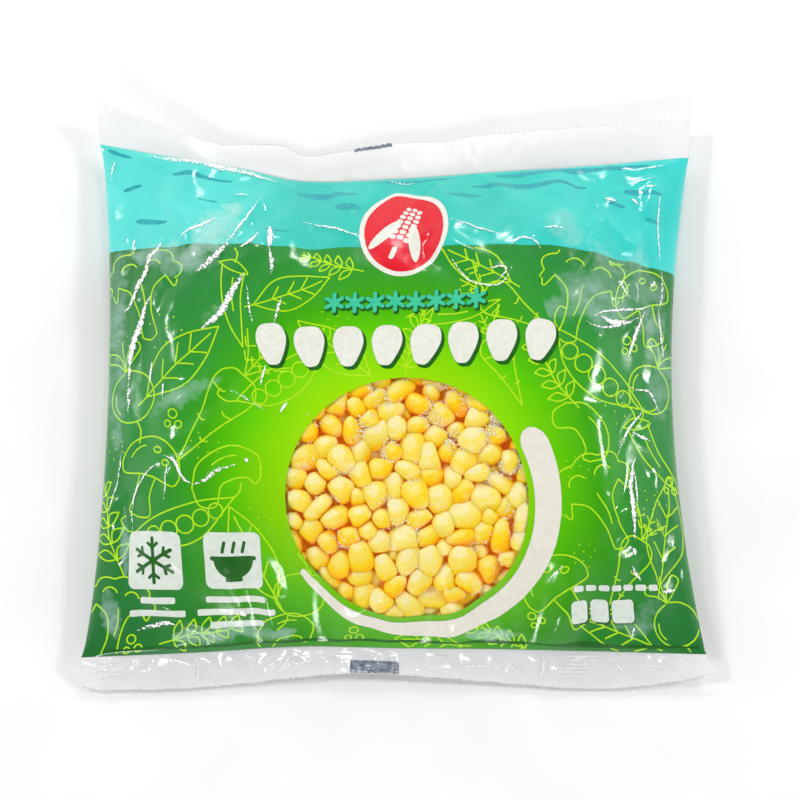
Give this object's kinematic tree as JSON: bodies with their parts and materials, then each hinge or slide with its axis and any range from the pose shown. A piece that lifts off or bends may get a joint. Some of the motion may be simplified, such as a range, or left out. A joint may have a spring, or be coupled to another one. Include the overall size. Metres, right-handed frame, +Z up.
{
  "type": "frozen vegetable bag",
  "caption": "Sealed pillow bag of frozen sweetcorn lying on its back, printed face up, with clear crimped fins at both ends and a round clear window onto the kernels.",
  "frame": {"origin": "middle of the bag's outer box in X and Y, on the surface that the bag lies on", "axes": "+X runs across the print to the reader's right, +Y runs up the print to the top fin, and +Z is up, out of the printed face"},
  "size_m": [0.222, 0.2124, 0.031],
  "materials": {
    "printed_film": "glossy printed polyethylene film, crumpled, with fields of green and a turquoise band at the top",
    "clear_film": "unprinted clear polyethylene film over the round window and along both end fins",
    "corn": "frozen sweetcorn kernels, waxy yellow skins with specks of frost"
  },
  "bodies": {
    "root": {"film_bag": "printed_film", "corn_heap": "corn"}
  },
  "joints": []
}
